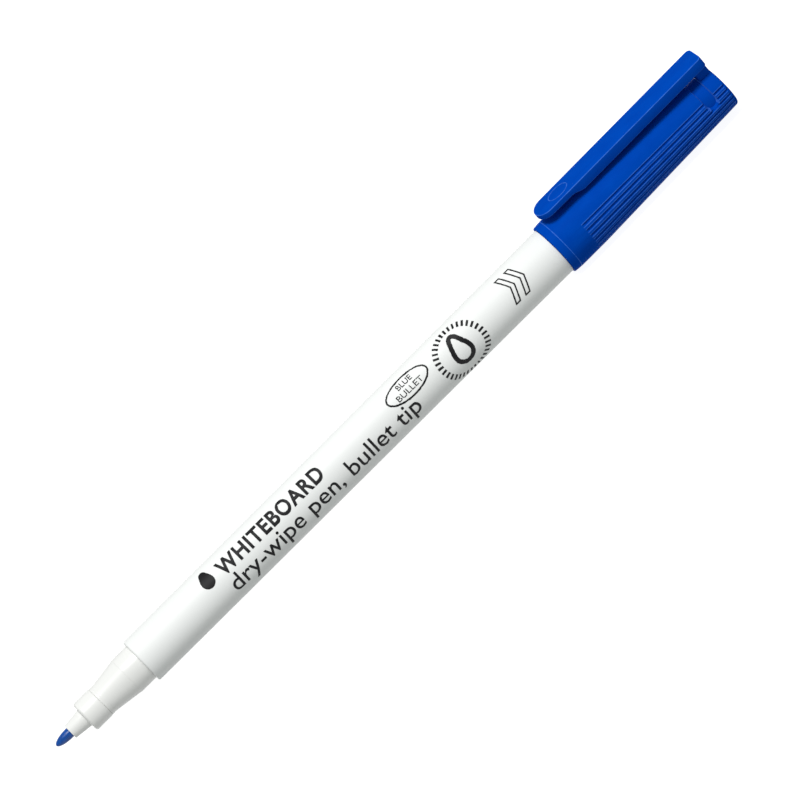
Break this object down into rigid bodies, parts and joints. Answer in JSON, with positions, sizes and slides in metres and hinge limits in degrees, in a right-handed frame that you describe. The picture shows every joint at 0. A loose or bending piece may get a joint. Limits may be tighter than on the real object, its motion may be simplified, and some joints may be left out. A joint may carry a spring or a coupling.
{
  "type": "whiteboard marker",
  "caption": "Slim fibre-tip whiteboard marker: round drafted barrel, stepped nib end, ribbed cap with pocket clip posted on the rear.",
  "frame": {"origin": "centre of the bounding box's bottom: halfway along the pen, on its centre plane, level with the lowest point of the cap", "axes": "+X along the pen from the nib to the cap's closed end, +Z from the pen's axis to the clip, +Y completes the right-handed set"},
  "size_m": [0.1548, 0.0102, 0.013],
  "materials": {
    "barrel_white": "satin moulded, faint grain",
    "section_white": "glossy moulded",
    "cap_blue": "satin moulded",
    "natural_liner": "natural, slightly waxy",
    "inked_fibre": "bonded fibre soaked with ink",
    "clear_film": "thin film"
  },
  "bodies": {
    "pen": {"barrel": "barrel_white", "front_section": "section_white", "nib_holder": "section_white", "nib": "inked_fibre", "ink_reservoir": "inked_fibre", "reservoir_wrap": "clear_film", "end_plug": "cap_blue"},
    "liner": {"inner_cap": "natural_liner"},
    "cap": {"cap_shell": "cap_blue"},
    "clip": {"pocket_clip": "cap_blue"}
  },
  "joints": [
    {"name": "cap_pull", "type": "slide", "parent": "pen", "child": "liner", "axis": [1, 0, 0], "range_m": [0, 0.02]},
    {"name": "cap_turn", "type": "hinge", "parent": "liner", "child": "cap", "pos_m": [0.03832, 0, 0.00507], "axis": [1, 0, 0], "continuous": true},
    {"name": "clip_flex", "type": "hinge", "parent": "cap", "child": "clip", "pos_m": [0.07702, 0, 0.01108], "axis": [0, 1, 0], "range_deg": [0, 4], "stiffness_Nm_per_rad": 0.3}
  ]
}
